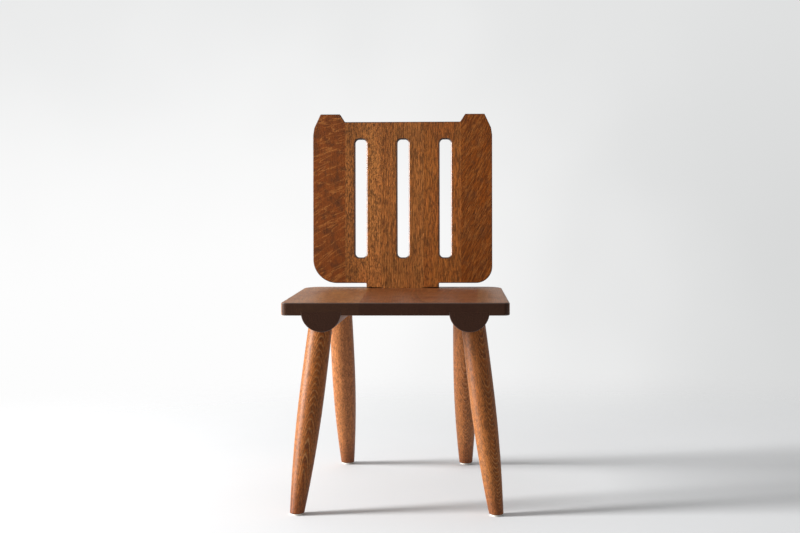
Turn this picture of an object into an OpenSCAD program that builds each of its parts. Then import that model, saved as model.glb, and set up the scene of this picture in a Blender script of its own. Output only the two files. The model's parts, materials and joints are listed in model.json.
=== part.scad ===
// Oak board chair. The seat and the slotted back board are edge-glued from staves.
// Two half-round battens are let into the underside of the seat, and each holds two
// turned legs by round tenons. The back board's tenon goes through the seat and is
// locked below it by a cross wedge. Each foot stands on a nailed nylon glide.
// +X is to the right of someone facing the chair, +Y runs to the back, +Z is up.
// The origin is on the floor, at the middle of the chair's outline in plan.

/* [Seat] */
// Height of the seat's front top edge above the floor
seat_h = 450; // [420:5:480]
// Width of the seat along its front edge
seat_front_w = 477; // [460:1:490]
// Width of the seat along its rear edge
seat_rear_w = 442; // [436:1:455]
// Depth of the seat from front to rear
seat_depth = 380; // [378:1:400]
// Thickness of the seat
seat_t = 27; // [24:0.5:30]
// Fall of the seat towards the back, in degrees
seat_fall = 2.4; // [0:0.1:4]
// Radius of the seat's front corners in plan
seat_front_r = 12; // [6:1:30]
// Radius of the seat's rear corners in plan
seat_rear_r = 40; // [20:1:41]
// Seam between the left and the middle seat stave
seat_seam_left = -75; // [-90:1:-60]
// Seam between the middle and the right seat stave
seat_seam_right = 170; // [130:1:180]

/* [Battens] */
// Radius of the half-round battens
batten_r = 42; // [38:1:44]
// Depth to which a batten is let into the seat
batten_housing = 7.3; // [4:0.1:10]
// Batten centre line from the seat's middle, at the front edge
batten_x = 154.3; // [148:0.1:158]
// Angle by which each batten turns inwards towards the back, in degrees
batten_toe = 2.8; // [0:0.1:3]

/* [Legs] */
// Radius of a leg at the foot
leg_foot_r = 15; // [14:0.1:18]
// Largest radius of a leg
leg_belly_r = 26.4; // [24:0.1:29]
// Radius of a leg where it meets its batten
leg_top_r = 24.5; // [22:0.1:26]
// Place of the largest radius, as a share of the leg's height
leg_belly_at = 0.6; // [0.5:0.01:0.7]
// Radius of the tenon at the top of a leg
leg_tenon_r = 15; // [12:0.5:18]
// Front feet from the middle of the chair
front_foot_x = 209.6; // [200:0.1:220]
// Front feet behind the seat's front edge
front_foot_y = 2.6; // [-10:0.1:20]
// Rear feet from the middle of the chair
rear_foot_x = 138.8; // [130:0.1:160]
// Rear feet behind the seat's front edge
rear_foot_y = 492; // [460:1:500]
// Top of the front legs from the middle of the chair
front_top_x = 157.5; // [150:0.1:162]
// Top of the front legs behind the seat's front edge
front_top_y = 85; // [75:1:95]
// Top of the rear legs from the middle of the chair
rear_top_x = 138.8; // [134:0.1:142]
// Top of the rear legs behind the seat's front edge
rear_top_y = 316; // [300:1:325]

/* [Glides] */
// Radius of a glide
glide_r = 13; // [11:0.5:14]
// Thickness of a glide
glide_t = 3.5; // [3:0.1:5]
// Radius of the nail's shank
nail_r = 1.1; // [0.8:0.1:1.5]
// Radius of the nail's head
nail_head_r = 3.2; // [2.5:0.1:4]
// Length of the nail's shank above its head
nail_length = 17; // [12:1:24]

/* [Back] */
// Width of the back board
back_w = 403; // [400:1:412]
// Thickness of the back board
back_t = 22; // [18:0.5:24]
// Lean of the back board from the seat's normal, in degrees
back_rake = 4.05; // [0:0.05:8]
// Front face of the back board behind the seat's front edge
back_y = 344; // [338:1:348]
// Lower edge of the back board above the seat
back_low = 11.3; // [9:0.1:16]
// Top edge of the back board between its ears
back_top = 373.6; // [366:0.1:384]
// Height of the ears above that top edge
ear_rise = 17.4; // [12:0.1:24]
// Radius of the back board's lower left corner
back_left_r = 54; // [40:1:60]
// Radius of the back board's lower right corner
back_right_r = 37; // [30:1:60]
// Width of the neck below the back board
neck_w = 163; // [156:1:172]
// Clearance of the neck's shoulders above the seat
shoulder_gap = 3.7; // [3.6:0.1:6]
// Width of the tenon that goes through the seat
back_tenon_w = 90; // [80:1:94]
// Length of the tenon below the seat
back_tenon_drop = 31; // [28:1:36]
// Width of each slot
slot_w = 28.5; // [24:0.5:32]
// Distance from one slot to the next
slot_pitch = 95; // [90:1:96]
// Sideways place of the middle slot
slot_x = 1.5; // [-3:0.5:3]
// Lower end of the slots above the seat
slot_low = 69; // [60:1:90]
// Upper end of the slots above the seat
slot_high = 334.5; // [320:0.5:345]
// Radius of the corners of a slot
slot_r = 9; // [5:0.5:11]

/* [Wedge] */
// Width of the cross wedge
wedge_w = 14; // [10:1:20]
// Height of the wedge at its thick front end
wedge_thick = 20; // [18:1:22]
// Height of the wedge at its thin rear end
wedge_thin = 14; // [12:1:16]

/* [Hidden] */

$fn = 96;
glue_gap = 0.1;        // space for glue round a tenon, and between a leg and its batten
nail_gap = 0.05;       // space round a nail's shank
past = 20;             // how far a cutting shape runs past what it cuts
oak = "#8a5530";
oak_red = "#7a4522";
oak_dark = "#6b3a18";
nylon = "#e6e2d8";
steel = "#9a9a98";

// Seat: half width and slope of the sides in plan
seat_taper = (seat_front_w - seat_rear_w) / 2 / seat_depth;
seat_slant = sqrt(1 + seat_taper * seat_taper);
function seat_half(y) = seat_front_w / 2 - seat_taper * y;

// Battens: height of the axis in the seat's frame
batten_z = -seat_t + batten_housing;

// A point of the seat's frame, in the chair's frame
function seat_point(p) = [p[0], p[1] * cos(seat_fall) + p[2] * sin(seat_fall),
                          seat_h - p[1] * sin(seat_fall) + p[2] * cos(seat_fall)];

// Legs: foot and top of each leg's axis on the right-hand side of the chair
front_foot = [front_foot_x, front_foot_y, glide_t];
rear_foot = [rear_foot_x, rear_foot_y, glide_t];
front_top = seat_point([front_top_x, front_top_y, batten_z]);
rear_top = seat_point([rear_top_x, rear_top_y, batten_z]);

// Chair's outline in plan, from the front feet to the rear feet
function splay_y(foot, top) = atan2(abs(foot[1] - top[1]), top[2] - foot[2]);
foot_front_edge = front_foot_y - leg_foot_r / cos(splay_y(front_foot, front_top));
foot_rear_edge = rear_foot_y + leg_foot_r / cos(splay_y(rear_foot, rear_top));
middle_y = (foot_front_edge + foot_rear_edge) / 2;

// Back board: seams between its five staves, from left to right
back_outer_seam_left = -129;
back_inner_seam = 48;
back_outer_seam_right = 132;
// Half an ear's outline, as distances from the middle and heights above the seat
ear_inner = [130, back_top];
ear_crest_in = [141, back_top + ear_rise];
ear_crest_out = [184.5, back_top + ear_rise];
ear_shoulder = [back_w / 2 - 2.5, back_top - 13.6];
ear_side = [back_w / 2, back_top - 30];
back_tenon_low = -seat_t / cos(back_rake) - back_tenon_drop;

// Wedge: its ends behind the seat's front edge
wedge_front = back_y - 26;
wedge_rear = back_y + 34;
wedge_head_room = 3;   // height of the wedge's hole above the seat's underside

// Places a child of the seat's frame, whose origin is at the middle of the seat's front
// top edge and whose +Z is the seat's normal
module on_seat() {
  translate([0, -middle_y, seat_h]) rotate([-seat_fall, 0, 0]) children();
}

// Places an outline of the back board, x to the right and y up the board, as a slab
// whose front face is the board's front face
module on_back(grow = 0) {
  on_seat() translate([0, back_y, 0]) rotate([90 - back_rake, 0, 0])
    translate([0, 0, -back_t - grow]) linear_extrude(back_t + 2 * grow) children();
}

// Strip of an outline between two seams
module strip(x0, x1) {
  intersection() {
    children();
    translate([x0, -seat_h]) square([x1 - x0, 2 * seat_h]);
  }
}

// Plan of the whole seat: front and rear corner circles joined by straight edges
module seat_plan() {
  front_c = [seat_half(seat_front_r) - seat_front_r * seat_slant, seat_front_r];
  rear_c = [seat_half(seat_depth - seat_rear_r) - seat_rear_r * seat_slant,
            seat_depth - seat_rear_r];
  out = [1, seat_taper] / seat_slant;
  front_side = front_c + seat_front_r * out;
  rear_side = rear_c + seat_rear_r * out;
  right = [[front_c[0], 0], front_side, rear_side, [rear_c[0], seat_depth]];
  left = [for (i = [3:-1:0]) [-right[i][0], right[i][1]]];
  polygon(concat(right, left));
  for (side = [-1, 1]) {
    translate([side * front_c[0], front_c[1]]) circle(seat_front_r);
    translate([side * rear_c[0], rear_c[1]]) circle(seat_rear_r);
  }
}

// Half-round batten in the seat's frame, on side -1 (left) or 1 (right)
module batten_bar(side, grow = 0) {
  intersection() {
    translate([side * batten_x, 0, batten_z]) rotate([0, 0, side * batten_toe])
      translate([0, -past, 0]) rotate([-90, 0, 0])
        cylinder(r = batten_r + grow, h = seat_depth + 2 * past);
    translate([-seat_front_w, -grow, batten_z - 2 * batten_r])
      cube([2 * seat_front_w, seat_depth + 2 * grow, 2 * batten_r + grow]);
  }
}

// Prism of the back board's tenon, larger all round by grow
module tenon_prism(grow = 0) {
  on_back(grow) translate([-back_tenon_w / 2 - grow, back_tenon_low])
    square([back_tenon_w + 2 * grow, shoulder_gap - back_tenon_low + grow]);
}

module seat_stave(x0, x1) {
  color(oak) difference() {
    on_seat() translate([0, 0, -seat_t]) linear_extrude(seat_t) strip(x0, x1) seat_plan();
    on_seat() for (side = [-1, 1]) batten_bar(side, glue_gap);
    tenon_prism(glue_gap);
  }
}
module seat_stave_left() { seat_stave(-seat_front_w, seat_seam_left); }
module seat_stave_middle() { seat_stave(seat_seam_left, seat_seam_right); }
module seat_stave_right() { seat_stave(seat_seam_right, seat_front_w); }

// Radius of a leg at height share t, on two parabolas that meet at the belly
function leg_radius(t) = t < leg_belly_at
  ? leg_belly_r - (leg_belly_r - leg_foot_r) * pow(1 - t / leg_belly_at, 2)
  : leg_belly_r - (leg_belly_r - leg_top_r) * pow((t - leg_belly_at) / (1 - leg_belly_at), 2);

// Places a child whose +Z runs up the axis of the leg from foot to top
module along_leg(foot, top) {
  d = top - foot;
  translate(foot) rotate([0, acos(d[2] / norm(d)), atan2(d[1], d[0])]) children();
}

// Turned body of a leg, past both ends of its axis
module leg_turning(foot, top) {
  length = norm(top - foot);
  steps = 16;
  profile = [for (i = [0:steps]) [leg_radius(i / steps), length * i / steps]];
  along_leg(foot, top) rotate_extrude()
    polygon(concat([[0, -past], [leg_foot_r, -past]], profile, [[0, length]]));
}

// Tenon of a leg, or with grow its socket in the batten
module leg_tenon(foot, top, grow = 0) {
  along_leg(foot, top) cylinder(r = leg_tenon_r + grow, h = norm(top - foot) + 2 * batten_r);
}

// Leg of the right-hand side. The body stops at the batten's round, and the tenon
// fills its socket up to the batten's flat top
module right_leg(foot, top) {
  color(oak_red) difference() {
    union() {
      difference() {
        translate([0, -middle_y, 0]) leg_turning(foot, top);
        on_seat() translate([batten_x, 0, batten_z]) rotate([0, 0, batten_toe])
          rotate([-90, 0, 0]) cylinder(r = batten_r + glue_gap, h = seat_depth);
      }
      difference() {
        translate([0, -middle_y, 0]) leg_tenon(foot, top);
        on_seat() translate([-seat_front_w, -past, batten_z])
          cube([2 * seat_front_w, seat_depth + 2 * past, 4 * batten_r]);
      }
    }
    translate([foot[0], foot[1] - middle_y, glide_t - 3 * past])
      cylinder(r = 3 * leg_foot_r, h = 3 * past);
    translate([foot[0], foot[1] - middle_y, 0])
      cylinder(r = nail_r + nail_gap, h = glide_t + nail_length + nail_gap, $fn = 32);
  }
}
module leg_front_right() { right_leg(front_foot, front_top); }
module leg_rear_right() { right_leg(rear_foot, rear_top); }
module leg_front_left() { mirror([1, 0, 0]) right_leg(front_foot, front_top); }
module leg_rear_left() { mirror([1, 0, 0]) right_leg(rear_foot, rear_top); }

module batten_right() {
  color(oak) difference() {
    on_seat() batten_bar(1);
    translate([0, -middle_y, 0]) leg_tenon(front_foot, front_top, glue_gap);
    translate([0, -middle_y, 0]) leg_tenon(rear_foot, rear_top, glue_gap);
  }
}
module batten_left() { mirror([1, 0, 0]) batten_right(); }

// Glide of the right-hand side: a chamfered disc with a recess for the nail's head
head_low = 0.5;        // space between the nail's head and the floor
head_t = 1.2;
module right_glide(foot) {
  color(nylon) translate([foot[0], foot[1] - middle_y, 0]) difference() {
    rotate_extrude() polygon([[0, 0], [glide_r - 1, 0], [glide_r, 1], [glide_r, glide_t],
                              [0, glide_t]]);
    translate([0, 0, -past]) cylinder(r = nail_r + nail_gap, h = 2 * past, $fn = 32);
    translate([0, 0, -past])
      cylinder(r = nail_head_r + nail_gap, h = past + head_low + head_t, $fn = 32);
  }
}
module glide_front_right() { right_glide(front_foot); }
module glide_rear_right() { right_glide(rear_foot); }
module glide_front_left() { mirror([1, 0, 0]) right_glide(front_foot); }
module glide_rear_left() { mirror([1, 0, 0]) right_glide(rear_foot); }

module right_nail(foot) {
  color(steel) translate([foot[0], foot[1] - middle_y, head_low]) {
    cylinder(r = nail_head_r, h = head_t, $fn = 32);
    cylinder(r = nail_r, h = glide_t - head_low + nail_length, $fn = 32);
  }
}
module nail_front_right() { right_nail(front_foot); }
module nail_rear_right() { right_nail(rear_foot); }
module nail_front_left() { mirror([1, 0, 0]) right_nail(front_foot); }
module nail_rear_left() { mirror([1, 0, 0]) right_nail(rear_foot); }

// Outline of the whole back board with its ears, neck and tenon, without the slots
module back_outline() {
  half = back_w / 2;
  ear = [ear_side, ear_shoulder, ear_crest_out, ear_crest_in, ear_inner];
  ear_left = [for (i = [4:-1:0]) [-ear[i][0], ear[i][1]]];
  polygon(concat(ear, ear_left, [
    [-half, back_low + back_left_r], [-half + back_left_r, back_low],
    [-neck_w / 2, back_low], [-neck_w / 2, shoulder_gap],
    [-back_tenon_w / 2, shoulder_gap], [-back_tenon_w / 2, back_tenon_low],
    [back_tenon_w / 2, back_tenon_low], [back_tenon_w / 2, shoulder_gap],
    [neck_w / 2, shoulder_gap], [neck_w / 2, back_low],
    [half - back_right_r, back_low], [half, back_low + back_right_r]]));
  translate([-half + back_left_r, back_low + back_left_r]) circle(back_left_r);
  translate([half - back_right_r, back_low + back_right_r]) circle(back_right_r);
}

// Upright slot with rounded corners, centred on x
module slot(x) {
  translate([x - slot_w / 2, slot_low + slot_r])
    square([slot_w, slot_high - slot_low - 2 * slot_r]);
  translate([x - slot_w / 2 + slot_r, slot_low])
    square([slot_w - 2 * slot_r, slot_high - slot_low]);
  for (side = [-1, 1], y = [slot_low + slot_r, slot_high - slot_r])
    translate([x + side * (slot_w / 2 - slot_r), y]) circle(slot_r, $fn = 48);
}

module back_stave(x0, x1, tint) {
  color(tint) on_back() difference() {
    strip(x0, x1) back_outline();
    for (i = [-1:1]) slot(slot_x + i * slot_pitch);
  }
}
module back_stave_left_outer() { back_stave(-back_w, back_outer_seam_left, oak_red); }
module back_stave_left() { back_stave(back_outer_seam_left, -back_inner_seam, oak); }
module back_stave_middle() {
  difference() {
    back_stave(-back_inner_seam, back_inner_seam, oak);
    on_seat() wedge_bar(nail_gap, wedge_head_room);
  }
}
module back_stave_right() { back_stave(back_inner_seam, back_outer_seam_right, oak); }
module back_stave_right_outer() { back_stave(back_outer_seam_right, back_w, oak_dark); }

// Cross wedge in the seat's frame, flat against the seat's underside. The hole that it
// is driven through is wider by grow and reaches higher by head_room
module wedge_bar(grow = 0, head_room = 0) {
  side = [[wedge_front, -seat_t + head_room], [wedge_front, -seat_t - wedge_thick - grow],
          [wedge_rear, -seat_t - wedge_thin - grow], [wedge_rear, -seat_t + head_room]];
  translate([-wedge_w / 2 - grow, 0, 0]) rotate([90, 0, 90])
    linear_extrude(wedge_w + 2 * grow) polygon(side);
}
module back_wedge() { color(oak_dark) on_seat() wedge_bar(); }

seat_stave_left();
seat_stave_middle();
seat_stave_right();
batten_left();
batten_right();
leg_front_left();
leg_front_right();
leg_rear_left();
leg_rear_right();
glide_front_left();
glide_front_right();
glide_rear_left();
glide_rear_right();
nail_front_left();
nail_front_right();
nail_rear_left();
nail_rear_right();
back_stave_left_outer();
back_stave_left();
back_stave_middle();
back_stave_right();
back_stave_right_outer();
back_wedge();
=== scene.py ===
import json
import logging
import math
from collections.abc import Callable, Iterable, Sequence
from dataclasses import dataclass, field, replace
from enum import Enum
from functools import partial
from typing import Any

import bmesh
import bpy
from mathutils import Matrix, Vector


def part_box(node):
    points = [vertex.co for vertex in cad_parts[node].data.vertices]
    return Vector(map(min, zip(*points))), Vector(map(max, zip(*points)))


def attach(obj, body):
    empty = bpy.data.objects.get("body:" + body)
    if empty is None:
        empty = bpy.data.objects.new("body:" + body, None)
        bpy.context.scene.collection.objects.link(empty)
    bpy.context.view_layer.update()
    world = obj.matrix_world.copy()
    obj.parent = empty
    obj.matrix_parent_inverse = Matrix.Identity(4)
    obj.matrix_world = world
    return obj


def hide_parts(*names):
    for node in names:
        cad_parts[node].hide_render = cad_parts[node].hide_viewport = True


# Looks of an oiled oak board chair. A trapezoid seat glued up from three staves stands on
# four turned legs, which are tenoned into two half-round battens. A slotted back board
# of five staves goes through the seat, where a cross wedge locks it. Each foot has a
# nylon glide, held by a nail. Sizes are in millimetres, and places come from the frame.

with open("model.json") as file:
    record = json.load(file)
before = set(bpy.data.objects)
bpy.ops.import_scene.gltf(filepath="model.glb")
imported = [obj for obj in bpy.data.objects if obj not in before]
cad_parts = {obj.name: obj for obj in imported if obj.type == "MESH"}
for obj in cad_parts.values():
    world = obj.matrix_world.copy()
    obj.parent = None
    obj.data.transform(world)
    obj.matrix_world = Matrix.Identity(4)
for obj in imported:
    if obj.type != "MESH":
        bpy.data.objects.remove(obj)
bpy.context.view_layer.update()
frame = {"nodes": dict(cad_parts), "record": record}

log = logging.getLogger("chair")

MM = 0.001             # metres in a millimetre
BODY = "root"          # nothing on the chair moves, so every piece rides on one body
ARRIS_STEPS = 6        # faces across a rounded arris
WORN_ARRIS = 3.2       # mm of round at which an arris is handled smooth and its painted edge shade is weakest
CURVE_STEP = math.radians(4)           # turn of one face round a corner
HALVINGS = 30          # steps of a search, each of which halves what is left
SOFT = {"interpolation_type": "SMOOTHSTEP"}    # for a MapRange node that eases in and out


# ---------------------------------------------------------------- names and small tools

class Side(Enum):
    """The two sides of the chair, as seen by someone who faces it."""

    LEFT = -1
    RIGHT = 1


class End(Enum):
    """The two ends of the chair."""

    FRONT = "front"
    REAR = "rear"


def linear(colour: str) -> tuple[float, float, float, float]:
    """Turns an sRGB colour into the linear one that shaders take.

    Args:
        colour: Six hex digits.

    Returns:
        Linear red, green and blue, and an alpha of 1.
    """
    parts = [int(colour[i:i + 2], 16) / 255 for i in (0, 2, 4)]
    curve = [p / 12.92 if p <= 0.04045 else ((p + 0.055) / 1.055) ** 2.4 for p in parts]
    return (*curve, 1.0)


def add_node(tree: bpy.types.NodeTree, kind: str, inputs: dict[int | str, Any] | None = None,
             **settings: Any) -> bpy.types.Node:
    """Adds one shader node with its settings and links.

    Args:
        tree: The node tree that gets the node.
        kind: The node's type without its ShaderNode prefix.
        inputs: What each input takes: a number, a vector, another node or its socket.
        **settings: Properties of the node.

    Returns:
        The new node.
    """
    node = tree.nodes.new("ShaderNode" + kind)
    for name, value in settings.items():
        setattr(node, name, value)
    for key, value in (inputs or {}).items():
        socket = (node.inputs[key] if isinstance(key, int)
                  else next(s for s in node.inputs if s.enabled and s.name == key))
        if isinstance(value, bpy.types.Node):
            value = next(s for s in value.outputs if s.enabled)
        if isinstance(value, bpy.types.NodeSocket):
            tree.links.new(value, socket)
        else:
            socket.default_value = value
    return node


def new_material(name: str) -> tuple[bpy.types.Material, partial]:
    """Makes an empty node material.

    Args:
        name: The material's name.

    Returns:
        The material, and add_node bound to its tree.
    """
    material = bpy.data.materials.new(name)
    material.use_nodes = True
    material.node_tree.nodes.clear()
    return material, partial(add_node, material.node_tree)


def new_object(name: str, mesh: bpy.types.Mesh | bmesh.types.BMesh) -> bpy.types.Object:
    """Puts a mesh into the scene.

    Args:
        name: The object's name.
        mesh: A mesh, or a bmesh that is written to a new mesh and freed.

    Returns:
        The new object, at the origin.
    """
    if isinstance(mesh, bmesh.types.BMesh):
        bmesh.ops.recalc_face_normals(mesh, faces=mesh.faces)
        data = bpy.data.meshes.new(name)
        mesh.to_mesh(data)
        mesh.free()
        mesh = data
    piece = bpy.data.objects.new(name, mesh)
    bpy.context.scene.collection.objects.link(piece)
    return piece


def loft(mesh: bmesh.types.BMesh, rings: Sequence[Sequence[bmesh.types.BMVert]],
         capped: bool = True) -> None:
    """Joins rings of points with faces, in order.

    Args:
        mesh: The mesh that holds the points.
        rings: The rings, which all have as many points.
        capped: True to close both ends.
    """
    count = len(rings[0])
    for lower, upper in zip(rings, rings[1:]):
        for k in range(count):
            n = (k + 1) % count
            mesh.faces.new((lower[k], lower[n], upper[n], upper[k]))
    if capped:
        for ring in (rings[0], rings[-1]):
            mesh.faces.new(ring)


def hull(points: Iterable[Vector]) -> bpy.types.Object:
    """Makes a flat-sided cutter.

    Args:
        points: Its corners.

    Returns:
        The cutter, which is the smallest solid round all of them.
    """
    mesh = bmesh.new()
    for point in points:
        mesh.verts.new(point)
    bmesh.ops.convex_hull(mesh, input=mesh.verts)
    return new_object("cutter", mesh)


def carve(piece: bpy.types.Object, cutters: Sequence[bpy.types.Object]) -> bpy.types.Object:
    """Cuts other solids out of a piece, and removes them.

    Args:
        piece: What is cut.
        cutters: The solids that are taken away.

    Returns:
        The piece, with its new mesh.
    """
    for cutter in cutters:
        cut = piece.modifiers.new("cut", "BOOLEAN")
        cut.operation = "DIFFERENCE"
        cut.solver = "EXACT"
        cut.object = cutter
    bpy.context.view_layer.update()
    shaped = piece.evaluated_get(bpy.context.evaluated_depsgraph_get())
    piece.data = bpy.data.meshes.new_from_object(shaped)
    piece.modifiers.clear()
    for cutter in cutters:
        bpy.data.objects.remove(cutter)
    return piece


def smooth(piece: bpy.types.Object, sharp_deg: float = 32.0) -> None:
    """Shades a piece smooth across its arrises and keeps its flats flat.

    Args:
        piece: The piece.
        sharp_deg: Edges that turn by more than this stay sharp.
    """
    piece.data.shade_smooth()
    piece.data.set_sharp_from_angle(angle=math.radians(sharp_deg))
    normals = piece.modifiers.new("flats", "WEIGHTED_NORMAL")
    normals.keep_sharp = True


def fit(piece: bpy.types.Object, node: str, material: bpy.types.Material) -> None:
    """Lets a piece stand for its frame node, dresses it and reports it.

    Args:
        piece: The finished piece.
        node: The frame node that it stands for.
        material: Its material.
    """
    piece.data.materials.clear()
    piece.data.materials.append(material)
    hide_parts(node)
    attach(piece, BODY)
    corners = [piece.matrix_world @ v.co for v in piece.data.vertices]
    low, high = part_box(node)
    off = max(max(abs(min(c[i] for c in corners) - low[i]),
                  abs(max(c[i] for c in corners) - high[i])) for i in range(3))
    log.info("%s: %d faces, %s, %.2f mm from its box in the frame",
             piece.name, len(piece.data.polygons), material.name, off / MM)


# ---------------------------------------------------------------- outlines and boards

@dataclass(frozen=True)
class Corner:
    """A corner of an outline."""

    x: float               # place, mm
    y: float
    radius: float          # round in the outline's own plane, mm
    arris: float           # round of the edge beside it, mm


def trace(corners: Sequence[Corner]) -> list[tuple[Vector, float]]:
    """Follows an outline, with an arc at each rounded corner.

    Args:
        corners: The outline's corners, anticlockwise round the wood.

    Returns:
        The outline's points in mm, each with the arris beside it.
    """
    points = []
    for i, corner in enumerate(corners):
        here = Vector((corner.x, corner.y))
        before, after = corners[i - 1], corners[(i + 1) % len(corners)]
        to_before = (Vector((before.x, before.y)) - here).normalized()
        to_after = (Vector((after.x, after.y)) - here).normalized()
        half = to_before.angle(to_after) / 2
        if corner.radius == 0:
            points.append((here, corner.arris))
            continue
        middle = here + (to_before + to_after).normalized() * corner.radius / math.sin(half)
        start = here + to_before * corner.radius / math.tan(half) - middle
        turn = math.pi - 2 * half
        if to_before.cross(to_after) > 0:
            turn = -turn
        steps = max(3, math.ceil(abs(turn) / CURVE_STEP))
        for k in range(steps + 1):
            points.append((middle + Matrix.Rotation(turn * k / steps, 2) @ start, corner.arris))
    return points


def inward(points: Sequence[tuple[Vector, float]]) -> list[Vector]:
    """Works out where each point of an outline moves when the outline shrinks by 1 mm.

    Args:
        points: An outline's points, anticlockwise round the wood.

    Returns:
        One move for each point.
    """
    moves = []
    for i, (here, _) in enumerate(points):
        back = (here - points[i - 1][0]).normalized()
        ahead = (points[(i + 1) % len(points)][0] - here).normalized()
        normal = Vector((-back.y, back.x)) + Vector((-ahead.y, ahead.x))
        moves.append(normal / max(normal.length_squared / 2, 0.2))
    return moves


@dataclass(frozen=True)
class Datum:
    """A flat reference on the chair, in metres, with directions across, along and through."""

    origin: Vector
    along: Vector
    through: Vector

    def point(self, x: float, y: float, z: float) -> Vector:
        """Places a point that is given in mm across, along and through."""
        return self.origin + (Vector((x, 0, 0)) + self.along * y + self.through * z) * MM

    def matrix(self) -> Matrix:
        """Writes the datum as a matrix.

        Returns:
            The matrix from mm on the datum to metres on the chair.
        """
        columns = [Vector((1, 0, 0)) * MM, self.along * MM, self.through * MM, self.origin]
        rows = [[c[i] for c in columns] for i in range(3)]
        return Matrix([*rows, [0, 0, 0, 1]])


@dataclass(frozen=True)
class Slab:
    """A flat board cut to an outline, with every edge eased to a round arris."""

    outline: Sequence[Corner]
    thickness: tuple[float, float]                  # its two faces, mm through its datum
    holes: Sequence[Sequence[Corner]] = ()

    def build(self, datum: Datum) -> bmesh.types.BMesh:
        """Makes the board.

        Args:
            datum: Where the board lies.

        Returns:
            Its mesh in the chair's frame, with an arris layer that peaks on the rounds.
        """
        mesh = bmesh.new()
        worn = mesh.verts.layers.float.new("arris")
        rims: tuple[list[bmesh.types.BMEdge], ...] = ([], [])
        for corners in (self.outline, *self.holes):
            points = trace(corners)
            moves = inward(points)
            rings = []
            for level in range(2 * ARRIS_STEPS + 2):
                upper = level > ARRIS_STEPS
                step = 2 * ARRIS_STEPS + 1 - level if upper else level
                angle = math.pi / 2 * (1 - step / ARRIS_STEPS)
                ring = []
                for (place, arris), move in zip(points, moves):
                    spot = place + move * arris * (1 - math.cos(angle))
                    depth = arris * (1 - math.sin(angle))
                    height = self.thickness[1] - depth if upper else self.thickness[0] + depth
                    vert = mesh.verts.new((spot.x, spot.y, height))
                    vert[worn] = math.sin(2 * angle) * min(1.0, arris / WORN_ARRIS)
                    ring.append(vert)
                rings.append(ring)
            loft(mesh, rings, capped=False)
            for rim, ring in zip(rims, (rings[0], rings[-1])):
                rim += [mesh.edges.get(pair) for pair in zip(ring, (*ring[1:], ring[0]))]
        for edges in rims:
            bmesh.ops.triangle_fill(mesh, use_beauty=True, edges=edges, normal=(0, 0, 1))
        bmesh.ops.transform(mesh, matrix=datum.matrix(), verts=mesh.verts)
        return mesh


def rip(board: bpy.types.Mesh, low: float | None, high: float | None) -> bmesh.types.BMesh:
    """Cuts one stave out of a board at its seams.

    Args:
        board: The whole board's mesh, in the chair's frame.
        low: The seam on the stave's left, in mm from the chair's middle, or None at the edge.
        high: The seam on its right, or None at the edge.

    Returns:
        The stave, closed at its seams.
    """
    stave = bmesh.new()
    stave.from_mesh(board)
    for seam, facing in ((low, -1), (high, 1)):
        if seam is None:
            continue
        bmesh.ops.bisect_plane(stave, geom=[*stave.verts, *stave.edges, *stave.faces],
                               plane_co=(seam * MM, 0, 0), plane_no=(facing, 0, 0),
                               clear_outer=True)
        edges = [e for e in stave.edges if e.is_boundary]
        bmesh.ops.holes_fill(stave, edges=edges, sides=0)
    return stave


def rod(start: Vector, end: Vector, radius: float) -> bpy.types.Object:
    """Makes a plain round cutter.

    Args:
        start: The middle of one end, in metres.
        end: The middle of the other end.
        radius: Its radius, mm.

    Returns:
        The cutter.
    """
    mesh = bmesh.new()
    length = (end - start).length
    bmesh.ops.create_cone(mesh, cap_ends=True, segments=64, radius1=radius * MM,
                          radius2=radius * MM, depth=length)
    turn = (end - start).to_track_quat("Z", "Y").to_matrix().to_4x4()
    bmesh.ops.transform(mesh, matrix=Matrix.Translation((start + end) / 2) @ turn,
                        verts=mesh.verts)
    return new_object("cutter", mesh)


# ---------------------------------------------------------------- finishes

@dataclass(frozen=True)
class Billet:
    """How a piece lies in its log, which is where its figure comes from.

    The piece is seen face on, with x to the right, y up the grain and z out of the face.
    """

    centre: Vector                        # the piece's middle, metres
    grain: Vector                         # the way its fibres run
    face: Vector                          # the way its show face looks
    pith: tuple[float, float] = (60.0, -90.0)      # the log's heart in x and z, mm
    run_out: tuple[float, float] = (0.0, 0.0)      # how x and z of the heart change with y
    seed: int = 0                         # picks another board of the same kind

    def to_face(self) -> Matrix:
        """Works out how the chair's frame lies on the piece.

        Returns:
            The turn and move from metres in the chair to mm on the face.
        """
        up = self.grain.normalized()
        right = up.cross(self.face).normalized()
        turn = Matrix((right, up, right.cross(up))) * (1 / MM)
        return Matrix.Translation(-(turn @ self.centre)) @ turn.to_4x4()

    @staticmethod
    def turned(leg_foot: Vector, leg_head: Vector, azimuth_deg: float, slope: float,
               seed: int) -> "Billet":
        """Lays out a turned leg, whose rings close into arches down one side.

        Args:
            leg_foot: Lower end of its axis.
            leg_head: Upper end of its axis.
            azimuth_deg: Where the arches are, from the front round to the right.
            slope: Slope of the rings across the axis. Above 0 the arches point up.
            seed: Picks another piece of wood.

        Returns:
            The billet.
        """
        angle = math.radians(azimuth_deg)
        bark = Vector((math.sin(angle), math.cos(angle)))
        return Billet((leg_foot + leg_head) / 2, leg_head - leg_foot, Vector((0, -1, 0)),
                      tuple(bark * -110.0), tuple(bark * slope), seed)


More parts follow.
